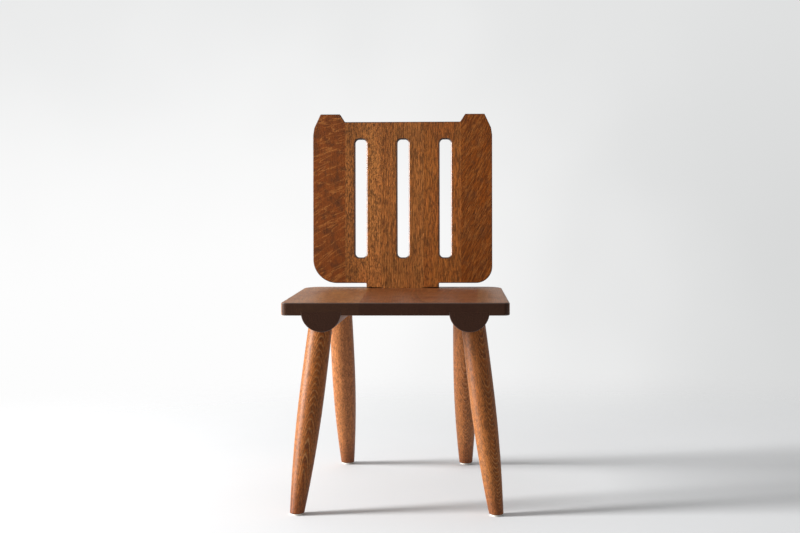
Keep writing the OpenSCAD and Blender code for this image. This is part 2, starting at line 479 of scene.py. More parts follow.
@dataclass(frozen=True)
class OiledOak:
    """Solid oak, stained and oiled: matt to satin, with rings, open pores and ray fleck."""

    name: str
    wood: str                      # smooth wood between the pores
    warm: str                      # the redder or lighter drifts in it
    band: str                      # porous early wood, where the stain gathers
    line: str                      # hard late wood at the end of each ring
    pore: str                      # stain in the open pores
    fleck: str                     # the rays' smooth ribbons
    end: str                       # end grain, which drinks most of the stain; also the colour of the painted shade along the arrises
    ring_mm: float = 3.6
    ring_show: float = 0.5         # how far the rings' colours show
    late: float = 0.12             # half the share of a ring that is hard late wood
    wander_mm: float = 4.0         # how far a ring strays from round
    ridge_mm: float = 3.2          # width and length of the brushed ridges of hard wood
    ridge_length_mm: float = 17.0
    ridge_show: float = 0.5
    slant: float = 0.0             # lean of ridges and pores, run to the right per rise
    pore_mm: float = 2.4           # pores are 0.3 mm wide, drawn in clusters that show
    pore_length_mm: float = 11.0
    pore_show: float = 0.7
    fleck_mm: float = 4.0          # pitch of the ribbons along the grain
    fleck_length_mm: float = 40.0
    fleck_width: float = 0.06      # share of the pitch that a ribbon takes
    fleck_show: float = 0.0
    fleck_slope: tuple[float, float] = (0.3, 0.3)  # rise per run, at the foot and the head
    fleck_span_mm: float = 380.0   # length over which the slope changes
    blotch: str = "54361f"         # stain that took unevenly
    blotch_show: float = 0.0
    darker_end: str = "40200e"           # colour that one end is darkened to: painted shade at the top of the back's staves, darker towards the foot on the legs
    darker_end_mm: tuple[float, float] = (70.0, 190.0)   # where that starts and is full, up the grain
    darker_end_show: float = 0.0
    outer: str = "5e2c0e"          # wood from nearer the bark, which takes more stain
    outer_show: float = 0.0
    end_from: tuple[float, float] = (0.25, 0.8)    # sine of the angle at which ends darken
    relief: float = 0.9
    roughness: float = 0.5
    gloss: float = 0.2             # specular level of the flats; arrises shine more
    painted_edge_shade: float = 0.5         # strength of the painted shade along the arrises
    wax: float = 0.0               # polish built up on wide arrises, which glint

    def material(self, name: str, billet: Billet) -> bpy.types.Material:
        """Makes the material of one piece.

        Args:
            name: The piece's name, which the material's name ends with.
            billet: How the piece lies in its log.

        Returns:
            The material.
        """
        material, put = new_material(f"{self.name} {name}")
        figure = Figure(self, billet, put)
        radius = figure.radius()
        wood, early = figure.ringed(radius)
        ridges, pores, ribbons = figure.ridges(), figure.pores(early), figure.ribbons()
        colour = figure.fibred(figure.stained(wood, radius), ridges)

        # End grain is dark where the fibres meet the surface. The arrises get painted shade: a
        # dark line in the end grain's colour along each edge, weaker on wide rounds such as the
        # slots'
        grain = put("VectorMath", {0: figure.place.outputs["Normal"],
                                   1: billet.grain.normalized()}, operation="DOT_PRODUCT")
        square = put("Math", {0: grain.outputs["Value"]}, operation="ABSOLUTE")
        ends = put("MapRange", {"Value": square, "From Min": self.end_from[0],
                                "From Max": self.end_from[1], "To Max": 0.93}, **SOFT)
        arris_wear_and_shade = put("Attribute", attribute_name="arris").outputs["Fac"]
        narrow = put("MapRange", {"Value": arris_wear_and_shade, "From Min": 0.5, "From Max": 0.9,
                                  "To Min": 1.0, "To Max": 0.3}, **SOFT)
        # painted shade along the arrises: a dark line that fades out on the wide rounds
        dark = put("MapRange", {"Value": arris_wear_and_shade, "From Max": 0.35, "To Max": self.painted_edge_shade},
                   **SOFT)
        edge_shade = put("Math", {0: dark, 1: narrow}, operation="MULTIPLY")
        for share, tint in ((pores, self.pore), (ribbons, self.fleck), (ends, self.end),
                            (edge_shade, self.end)):
            colour = put("Mix", {"Factor": share, "A": colour, "B": linear(tint)},
                         data_type="RGBA")

        # Rough in the pores and on end grain, smoother on the rays and on handled arrises
        rough = self.roughness
        for share, change in ((pores, 0.2), (ends, 0.2), (ribbons, -0.1), (arris_wear_and_shade, -0.15)):
            rough = put("Math", {0: share, 1: change, 2: rough}, operation="MULTIPLY_ADD")
        pits = put("Math", {0: pores, 1: -0.7}, operation="MULTIPLY")
        height = put("Math", {0: ridges, 1: 1.8, 2: pits}, operation="MULTIPLY_ADD")
        rubbed = put("Math", {0: arris_wear_and_shade, 1: -self.relief, 2: self.relief},
                     operation="MULTIPLY_ADD", use_clamp=True)
        bump = put("Bump", {"Height": height, "Strength": rubbed, "Distance": 0.5 * MM})

        # Arrises shine with oil and wax, and squarely cut end grain stays dry
        oiled = put("Math", {0: arris_wear_and_shade, 1: 0.5, 2: self.gloss}, operation="MULTIPLY_ADD")
        dry = put("MapRange", {"Value": square, "From Min": 0.8, "From Max": 0.98}, **SOFT)
        specular = put("Math", {0: dry, 1: -0.8 * self.gloss, 2: oiled},
                       operation="MULTIPLY_ADD", use_clamp=True)
        waxed = put("MapRange", {"Value": arris_wear_and_shade, "From Min": 0.5, "To Max": self.wax}, **SOFT)
        surface = put("BsdfPrincipled", {"Base Color": colour, "Roughness": rough,
                                         "Specular IOR Level": specular,
                                         "Coat Weight": waxed, "Coat Roughness": 0.3,
                                         "Coat IOR": 1.8, "Normal": bump, "IOR": 1.5})
        put("OutputMaterial", {"Surface": surface})
        return material


class Figure:
    """The figure of one piece of oak, drawn by nodes that work in mm of its billet."""

    def __init__(self, oak: OiledOak, billet: Billet, put: partial) -> None:
        """Sets out the billet's coordinates.

        Args:
            oak: The finish.
            billet: How the piece lies in its log.
            put: Adds a node to the piece's material.
        """
        self.oak, self.billet, self.put = oak, billet, put
        to_face = billet.to_face()
        self.place = put("TexCoord")
        self.board = put("Mapping", {"Vector": self.place.outputs["Object"],
                                     "Scale": (1 / MM,) * 3,
                                     "Rotation": (to_face.to_3x3() * MM).to_euler(),
                                     "Location": to_face.translation})
        parts = put("SeparateXYZ", {0: self.board})
        self.x, self.y, self.z = (parts.outputs[axis] for axis in "XYZ")
        leant = put("Math", {0: self.y, 1: -oak.slant, 2: self.x}, operation="MULTIPLY_ADD")
        self.slanted = put("CombineXYZ", {0: leant, 1: self.y, 2: self.z})

    def noise(self, size: tuple[float, float, float], detail: float, roughness: float,
              place: bpy.types.Node | None = None, distortion: float = 0.0) -> bpy.types.Node:
        """Lays noise over the piece, from its own patch of wood.

        Args:
            size: Size of the lumps across the face, up the grain and through it, mm.
            detail: How many times finer lumps are added.
            roughness: How strong the finer lumps are.
            place: Where each point lies in the wood, or None for the billet's own frame.
            distortion: How far the lumps are pulled about.

        Returns:
            The noise.
        """
        own = Vector((37.0, 71.0, 113.0)) * self.billet.seed
        moved = self.put("VectorMath", {0: self.board if place is None else place, 1: own},
                         operation="ADD")
        scaled = self.put("VectorMath", {0: moved, 1: [1 / mm for mm in size]},
                          operation="MULTIPLY")
        return self.put("TexNoise", {"Vector": scaled, "Scale": 1.0, "Detail": detail,
                                     "Roughness": roughness, "Distortion": distortion})

    def radius(self) -> bpy.types.NodeSocket:
        """Measures how far each point is from the log's heart.

        Returns:
            The distance in mm, which wanders as the tree grew.
        """
        pith, run_out, put = self.billet.pith, self.billet.run_out, self.put
        sway = 2 * self.oak.wander_mm
        stray = put("VectorMath", {0: self.noise((62, 230, 62), 2, 0.5).outputs["Color"],
                                   1: (sway, 0, sway), 2: (-sway / 2, 0, -sway / 2)},
                    operation="MULTIPLY_ADD")
        strayed = put("VectorMath", {0: self.board, 1: stray}, operation="ADD")
        spoke = put("VectorMath", {0: strayed, 1: (pith[0], 0, pith[1])}, operation="SUBTRACT")
        lean = put("VectorMath", {0: (run_out[0], 1, run_out[1]), "Scale": self.y},
                   operation="SCALE")
        level = put("VectorMath", {0: spoke, 1: lean}, operation="SUBTRACT")
        return put("VectorMath", {0: level}, operation="LENGTH").outputs["Value"]

    def ringed(self, radius: bpy.types.NodeSocket) -> tuple[bpy.types.Node, bpy.types.Node]:
        """Colours the growth rings over broad drifts of colour.

        Args:
            radius: Distance from the heart.

        Returns:
            The wood's colour, and how early in its year each point grew.
        """
        oak, put = self.oak, self.put
        wobble = put("Math", {0: self.noise((9, 60, 9), 3, 0.6), 1: 0.8}, operation="MULTIPLY")
        age = put("Math", {0: radius, 1: 1 / oak.ring_mm, 2: wobble}, operation="MULTIPLY_ADD")
        season = put("Math", {0: age}, operation="FRACT")
        year = put("TexWhiteNoise", {"W": put("Math", {0: age}, operation="FLOOR")},
                   noise_dimensions="1D")
        early = put("MapRange", {"Value": season, "From Min": 0.04, "From Max": 0.5,
                                 "To Min": 1.0, "To Max": 0.0}, **SOFT)
        ring = put("ValToRGB", {"Fac": season})
        stops = ((0.0, oak.line), (oak.late, oak.band), (oak.late + 0.2, oak.band),
                 (0.75 - 0.5 * oak.late, oak.wood), (1 - oak.late, oak.wood), (1.0, oak.line))
        ramp = ring.color_ramp.elements
        while len(ramp) < len(stops):
            ramp.new(0.5)
        for stop, (position, colour) in zip(ramp, stops):
            stop.position = position
            stop.color = linear(colour)
        drift = put("MapRange", {"Value": self.noise((34, 150, 34), 3, 0.55), "From Min": 0.36,
                                 "From Max": 0.66}, **SOFT)
        ground = put("Mix", {"Factor": drift, "A": linear(oak.wood), "B": linear(oak.warm)},
                     data_type="RGBA")
        shown = put("Math", {0: year.outputs["Value"], 1: 0.9 * oak.ring_show,
                             2: 0.55 * oak.ring_show}, operation="MULTIPLY_ADD", use_clamp=True)
        return put("Mix", {"Factor": shown, "A": ground, "B": ring}, data_type="RGBA"), early

    def stained(self, wood: bpy.types.Node, radius: bpy.types.NodeSocket) -> bpy.types.Node:
        """Stains the wood unevenly and deeper near the bark, and darkens one end: painted shade at
        the top of a back stave, darker towards the foot of a leg.

        Args:
            wood: Its colour.
            radius: Distance from the heart.

        Returns:
            Its new colour.
        """
        oak, put = self.oak, self.put
        heart = math.hypot(*self.billet.pith)
        bark = heart + 26
        for value, low, high, share, colour in (
                (self.noise((18, 20, 18), 3, 0.6), 0.46, 0.68, oak.blotch_show, oak.blotch),
                (radius, heart, bark, oak.outer_show, oak.outer),
                (self.y, *oak.darker_end_mm, oak.darker_end_show, oak.darker_end)):
            taken = put("MapRange", {"Value": value, "From Min": low, "From Max": high,
                                     "To Max": share}, **SOFT)
            wood = put("Mix", {"Factor": taken, "A": wood, "B": linear(colour)},
                       data_type="RGBA")
        return wood

    def ridges(self) -> bpy.types.Node:
        """Lays out the brushed ridges of hard wood, fine ones gathered in clumps.

        Returns:
            How high the ridges stand.
        """
        width, length = self.oak.ridge_mm, self.oak.ridge_length_mm
        clump = self.noise((2.6 * width, 2.4 * length, 2.6 * width), 2, 0.5, self.slanted, 0.8)
        fine = self.noise((width, length, width), 2, 0.6, self.slanted, 0.7)
        base = self.put("Math", {0: clump, 1: 0.28}, operation="MULTIPLY")
        return self.put("Math", {0: fine, 1: 0.72, 2: base}, operation="MULTIPLY_ADD")

    def fibred(self, wood: bpy.types.Node, ridges: bpy.types.Node) -> bpy.types.Node:
        """Streaks the wood with its long fibres and its ridges.

        Args:
            wood: Its colour.
            ridges: How high the ridges stand.

        Returns:
            Its new colour.
        """
        # Fibres are far finer than this, and are drawn in bundles wide enough to show
        put, show = self.put, self.oak.ridge_show
        fibre = put("MapRange", {"Value": self.noise((3.4, 120, 3.4), 4, 0.6), "From Min": 0.3,
                                 "From Max": 0.72, "To Min": 0.88, "To Max": 1.12}, **SOFT)
        crest = put("MapRange", {"Value": ridges, "From Min": 0.36, "From Max": 0.64,
                                 "To Min": 1 - 0.6 * show, "To Max": 1 + 0.7 * show}, **SOFT)
        streaks = put("Math", {0: fibre, 1: crest}, operation="MULTIPLY")
        return put("VectorMath", {0: wood, "Scale": streaks}, operation="SCALE")

    def pores(self, early: bpy.types.Node) -> bpy.types.Node:
        """Scatters the pores: short dark ticks, thickest in the early wood.

        Args:
            early: How early in its year each point grew.

        Returns:
            How far each pore shows.
        """
        oak, put = self.oak, self.put
        scaled = put("VectorMath", {0: self.slanted,
                                    1: (1 / oak.pore_mm, 1 / oak.pore_length_mm,
                                        1 / oak.pore_mm)}, operation="MULTIPLY")
        cells = put("TexVoronoi", {"Vector": scaled, "Scale": 1.0}, feature="F1")
        tick = put("MapRange", {"Value": cells.outputs["Distance"], "From Min": 0.14,
                                "From Max": 0.42, "To Min": 1.0, "To Max": 0.0}, **SOFT)
        crowd = put("Math", {0: early, 1: 0.7, 2: 0.35}, operation="MULTIPLY_ADD")
        crowded = put("Math", {0: tick, 1: crowd}, operation="MULTIPLY")
        return put("Math", {0: crowded, 1: oak.pore_show}, operation="MULTIPLY", use_clamp=True)

    def ribbons(self) -> bpy.types.Node:
        """Lays out the ray fleck: wavy ribbons, whose slope changes along the piece.

        Returns:
            How far each ribbon shows.
        """
        oak, put = self.oak, self.put
        foot, head = oak.fleck_slope
        slope = put("Math", {0: self.y, 1: (foot - head) / oak.fleck_span_mm,
                             2: -(foot + head) / 2}, operation="MULTIPLY_ADD")
        rise = put("Math", {0: self.x, 1: slope, 2: self.y}, operation="MULTIPLY_ADD")
        across = put("CombineXYZ", {0: self.x, 1: rise, 2: self.z})
        waves = self.noise((oak.fleck_length_mm, 2 * oak.fleck_mm, 40), 3, 0.45, across, 0.5)
        broken = put("MapRange", {"Value": self.noise((7, 7, 7), 2, 0.6), "From Min": 0.3,
                                  "From Max": 0.6, "To Min": 0.3}, **SOFT)
        level = put("Math", {0: waves, 1: 0.5}, operation="SUBTRACT")
        off = put("Math", {0: level}, operation="ABSOLUTE")
        ribbon = put("MapRange", {"Value": off, "From Max": oak.fleck_width,
                                  "To Min": oak.fleck_show, "To Max": 0.0}, **SOFT)
        return put("Math", {0: ribbon, 1: broken}, operation="MULTIPLY")


# Every kind of stave has its own colour and figure, so that the seams between them show
# The back's staves darken towards their top, which is painted shade
OAK_BACK = OiledOak(
    "oiled brushed oak", wood="8a5426", warm="8c5022", band="643412", line="a86e38", pore="4a2008",
    fleck="a06a32", end="241006", ridge_show=0.85, ridge_mm=2.5, ridge_length_mm=14.0,
    pore_show=0.3, pore_mm=3.2, pore_length_mm=9.0, fleck_show=0.2, fleck_mm=3.0,
    fleck_length_mm=14.0, end_from=(0.12, 0.5), painted_edge_shade=0.6, darker_end_show=0.25, gloss=0.16, wax=0.3)
OAK_BACK_LIGHT = replace(
    OAK_BACK, wood="945c2c", warm="945628", line="b87e46", ring_show=0.3, pore_show=0.2,
    ridge_show=1.0, ridge_length_mm=8.0, outer="70401a", outer_show=0.7)
OAK_BACK_RED = replace(
    OAK_BACK, wood="844c1c", warm="844618", ring_show=0.3)
OAK_BACK_LEFT = OiledOak(
    "oiled quartered oak", wood="70380f", warm="763a10", band="58290a", line="804818",
    pore="3a1804", fleck="a86a34", end="241006", ring_show=0.2, pore_show=0.3, ridge_show=0.3,
    ridge_mm=2.8, ridge_length_mm=5.0, pore_mm=3.2, pore_length_mm=5.0, fleck_mm=6.5,
    fleck_length_mm=60.0, fleck_width=0.035, fleck_show=0.6, fleck_slope=(0.75, 0.2),
    blotch="46260f", blotch_show=0.65, end_from=(0.12, 0.5), painted_edge_shade=0.6, darker_end_show=0.2,
    gloss=0.16)
OAK_BACK_RIGHT = OiledOak(
    "oiled dark oak", wood="6c360b", warm="723809", band="542804", line="7e4618", pore="341402",
    fleck="a0622c", end="241006", ring_show=0.2, pore_show=0.4, slant=0.5, ridge_show=0.6,
    ridge_mm=2.4, ridge_length_mm=14.0, pore_mm=3.2, fleck_mm=7.0, fleck_length_mm=24.0,
    fleck_show=0.5, fleck_slope=(2.0, 2.0), blotch_show=0.3, end_from=(0.12, 0.5), painted_edge_shade=0.6,
    darker_end_show=0.2, gloss=0.13)
OAK_SEAT = OiledOak(
    "oiled seat oak", wood="743e1c", warm="643010", band="583010", line="8a5630", pore="3c2010",
    fleck="a06e44", end="30201a", ring_show=0.5, pore_show=0.3, ridge_show=0.35, fleck_show=0.2,
    fleck_mm=12.0, fleck_length_mm=60.0, fleck_width=0.12, fleck_slope=(0.5, 0.9), blotch="542810",
    blotch_show=0.35, relief=0.4, roughness=0.45, gloss=0.2, painted_edge_shade=0.4, end_from=(0.2, 0.75))
OAK_SEAT_TAN = replace(
    OAK_SEAT, wood="926036", warm="84502a", line="a06c40", fleck="b88858", fleck_slope=(0.05, 0.1),
    fleck_show=0.12, ring_show=0.45, ridge_show=0.45, blotch_show=0.15)
OAK_SEAT_GREY = replace(
    OAK_SEAT, wood="7e502e", warm="724620", line="946a46", fleck="a07a50",
    fleck_slope=(-0.05, 0.05), fleck_show=0.12, ridge_show=0.45, blotch_show=0.15)
OAK_BATTEN = OiledOak(
    "oiled batten oak", wood="7c4c2c", warm="744426", band="5c361f", line="8c5a36", pore="40230f",
    fleck="8c5a36", end="30201a", ring_show=0.4, pore_show=0.5, ridge_show=0.3, painted_edge_shade=0.2)
OAK_LEG = OiledOak(
    "turned oiled oak", wood="8e501d", warm="92531f", band="683610", line="c0905a", pore="50280e",
    fleck="a87040", end="3a1a0a", ring_mm=1.3, ring_show=0.55, late=0.2, wander_mm=2.2,
    pore_show=0.5, pore_mm=2.6, pore_length_mm=5.0, ridge_mm=2.0, ridge_show=0.7,
    ridge_length_mm=6.0, relief=0.4, roughness=0.45, gloss=0.22, painted_edge_shade=0.25, darker_end="5c2a10",
    darker_end_mm=(-120.0, -225.0), darker_end_show=0.6, outer="64300c", outer_show=0.35)
OAK_LEG_PALE = replace(
    OAK_LEG, wood="965a2e", warm="985c2e", line="bc8c60", ring_show=0.4, pore_mm=3.0,
    pore_show=0.6, outer_show=0.15)


@dataclass(frozen=True)
class MouldedNylon:
    """Moulded nylon: off-white, faintly see-through and waxy, scuffed where it slides."""

    name: str = "moulded nylon"
    colour: str = "e6e2d8"
    scuff: str = "b9b4a8"
    roughness: float = 0.42

    def material(self) -> bpy.types.Material:
        """Makes the material.

        Returns:
            The material.
        """
        material, put = new_material(self.name)
        place = put("TexCoord")
        grit = put("TexNoise", {"Vector": place.outputs["Object"], "Scale": 1 / (1.2 * MM),
                                "Detail": 4.0, "Roughness": 0.7})
        worn = put("MapRange", {"Value": grit.outputs["Fac"], "From Min": 0.5,
                                "From Max": 0.75, "To Max": 0.6})
        colour = put("Mix", {"Factor": worn, "A": linear(self.colour),
                             "B": linear(self.scuff)}, data_type="RGBA")
        rough = put("Math", {0: worn, 1: 0.3, 2: self.roughness}, operation="MULTIPLY_ADD")
        bump = put("Bump", {"Height": grit.outputs["Fac"], "Strength": 0.3,
                            "Distance": 0.05 * MM})
        surface = put("BsdfPrincipled", {"Base Color": colour, "Roughness": rough,
                                         "Normal": bump, "IOR": 1.53,
                                         "Subsurface Weight": 0.1,
                                         "Subsurface Radius": (0.002, 0.002, 0.0015)})
        put("OutputMaterial", {"Surface": surface})
        return material


@dataclass(frozen=True)
class DrawnSteel:
    """Plain drawn steel: dull grey metal with fine die lines and a few brown stains."""

    name: str = "drawn steel"
    colour: str = "9a9a98"
    stain: str = "6a5040"
    roughness: float = 0.38

    def material(self) -> bpy.types.Material:
        """Makes the material.

        Returns:
            The material.
        """
        material, put = new_material(self.name)
        place = put("TexCoord")
        spots = put("TexNoise", {"Vector": place.outputs["Object"], "Scale": 1 / (1.6 * MM),
                                 "Detail": 5.0, "Roughness": 0.6})
        stained = put("MapRange", {"Value": spots.outputs["Fac"], "From Min": 0.55,
                                   "From Max": 0.7, "To Max": 0.5})
        colour = put("Mix", {"Factor": stained, "A": linear(self.colour),
                             "B": linear(self.stain)}, data_type="RGBA")
        rough = put("Math", {0: stained, 1: 0.4, 2: self.roughness},
                    operation="MULTIPLY_ADD")
        surface = put("BsdfPrincipled", {"Base Color": colour, "Roughness": rough,
                                         "Metallic": 1.0})
        put("OutputMaterial", {"Surface": surface})
        return material


# ---------------------------------------------------------------- the chair's parts

@dataclass(frozen=True)
class Stave:
    """One stave of a glued board."""

    name: str
    oak: OiledOak
    pith: tuple[float, float]            # its log's heart, as in Billet
    seed: int
    slot: str                            # the record's material slot


def saw(board: bpy.types.Object, part: str, seams: Sequence[float], staves: Sequence[Stave],
        lie: Billet) -> None:
    """Makes the staves of a board: cuts it at its seams, and dresses each one.

    Args:
        board: The whole board, which is removed.
        part: The part of the chair that it makes.
        seams: Where its seams are, from left to right, in mm from the chair's middle.
        staves: Its staves, from left to right.
        lie: How the wood of all of them lies.
    """
    edges = (None, *seams, None)
    for low, high, stave in zip(edges, edges[1:], staves):
        node = f"{part}_stave_{stave.name}"
        piece = new_object(f"oak_{part}_{stave.name}", rip(board.data, low, high))
        smooth(piece)
        near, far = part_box(node)
        billet = replace(lie, centre=(near + far) / 2, pith=stave.pith, seed=stave.seed)
        fit(piece, node, stave.oak.material(stave.name, billet))
    bpy.data.objects.remove(board)


@dataclass
class Seat:
    """The seat: three staves, edge-glued, with their grain from front to back."""

    front_w: float = 477.0
    rear_w: float = 442.0
    depth: float = 380.0
    thickness: float = 27.0
    front_r: float = 12.0
    rear_r: float = 40.0
    arris: float = 2.6
    seams: tuple[float, float] = (-75.0, 170.0)
    datum: Datum = field(init=False)

    def __post_init__(self) -> None:
        """Finds the seat's plane from the frame."""
        mount = next(m for m in frame["record"]["mounts"] if m["name"] == "seat_top")
        normal = Vector(mount["axis"]).normalized()
        backward = Vector((1, 0, 0)).cross(normal) * -1
        low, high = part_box("seat_stave_middle")
        front = low.y + self.thickness * MM * normal.y
        self.datum = Datum(Vector((0, front, high.z)), backward, normal)

    def outline(self) -> list[Corner]:
        """Draws the seat's plan.

        Returns:
            Its corners, anticlockwise from the front left one.
        """
        front, rear = self.front_w / 2, self.rear_w / 2
        return [Corner(-front, 0, self.front_r, self.arris),
                Corner(front, 0, self.front_r, self.arris),
                Corner(rear, self.depth, self.rear_r, self.arris),
                Corner(-rear, self.depth, self.rear_r, self.arris)]

    def build(self, cutters: Sequence[bpy.types.Object]) -> None:
        """Makes the three staves.

        Args:
            cutters: The battens' housings and the mortise of the back board.
        """
        slab = Slab(self.outline(), (-self.thickness, 0.0)).build(self.datum)
        board = carve(new_object("seat_board", slab), cutters)
        staves = (Stave("left", OAK_SEAT_TAN, (150.0, -20.0), 3, "oak_seat"),
                  Stave("middle", OAK_SEAT, (20.0, -70.0), 11, "oak_seat"),
                  Stave("right", OAK_SEAT_GREY, (-140.0, -30.0), 17, "oak_seat"))
        saw(board, "seat", self.seams, staves,
            Billet(self.datum.origin, self.datum.along, self.datum.through,
                   run_out=(0.02, 0.03)))


@dataclass
class Batten:
    """A half-round batten under the seat, with its flat let into the seat."""

    seat: Seat
    side: Side
    radius: float = 42.0
    housing: float = 7.3
    middle_x: float = 154.3
    toe_deg: float = 2.8
    arris: float = 1.6
    sides: int = 56

    def top(self) -> float:
        """Height of the batten's flat and axis in the seat's datum."""
        return self.housing - self.seat.thickness

    def axis(self, y: float) -> Vector:
        """The axis at a distance behind the seat's front edge."""
        x = self.middle_x - y * math.tan(math.radians(self.toe_deg))
        return self.seat.datum.point(self.side.value * x, y, self.top())

    def half_round(self, name: str, over: float, grow: float, arris: float) -> bpy.types.Object:
        """Makes the bar.

        Args:
            name: The object's name.
            over: How far it runs past both edges of the seat.
            grow: How much it is larger all round.
            arris: Round of the edges of its ends.

        Returns:
            The bar.
        """
        mesh = bmesh.new()
        worn = mesh.verts.layers.float.new("arris")
        wide = (self.radius + grow) / math.cos(math.radians(self.toe_deg))
        bend = [math.pi / 2 * k / ARRIS_STEPS for k in range(ARRIS_STEPS + 1)]
        ends = [(arris * (1 - math.sin(a)), arris * (1 - math.cos(a)), math.sin(2 * a))
                for a in bend]
        stations = [(-over + y, inset, wear) for y, inset, wear in reversed(ends)]
        stations += [(self.seat.depth * share, 0.0, 0.0) for share in (0.25, 0.5, 0.75)]
        stations += [(self.seat.depth + over - y, inset, wear) for y, inset, wear in ends]
        rings = []
        for y, inset, wear in stations:
            centre = self.axis(y)
            ring = []
            for k in range(self.sides + 1):
                angle = math.pi * k / self.sides
                x = (wide - inset) * math.cos(angle)
                z = -(self.radius + grow - inset) * math.sin(angle)
                vert = mesh.verts.new(centre + (Vector((x, 0, 0))
                                                + self.seat.datum.through * z) * MM)
                vert[worn] = wear
                ring.append(vert)
            if grow:
                lift = self.seat.datum.through * grow * MM
                ring += [mesh.verts.new(ring[-1].co + lift), mesh.verts.new(ring[0].co + lift)]
            rings.append(ring)
        loft(mesh, rings)
        return new_object(name, mesh)

    def housing_cutter(self) -> bpy.types.Object:
        """The solid that cuts this batten's housing in the seat."""
        return self.half_round("cutter", over=20.0, grow=0.1, arris=0.0)

    def build(self, sockets: Sequence[bpy.types.Object]) -> None:
        """Makes the batten.

        Args:
            sockets: The solids that cut the legs' sockets.
        """
        name = self.side.name.lower()
        piece = carve(self.half_round(f"oak_batten_{name}", 0.0, 0.0, self.arris), sockets)
        smooth(piece)
        billet = Billet(self.axis(self.seat.depth / 2), self.axis(self.seat.depth) - self.axis(0),
                        self.seat.datum.through * -1, (8.0, -55.0), (0.02, 0.03),
                        23 if self.side is Side.LEFT else 29)
        fit(piece, f"batten_{name}", OAK_BATTEN.material(name, billet))


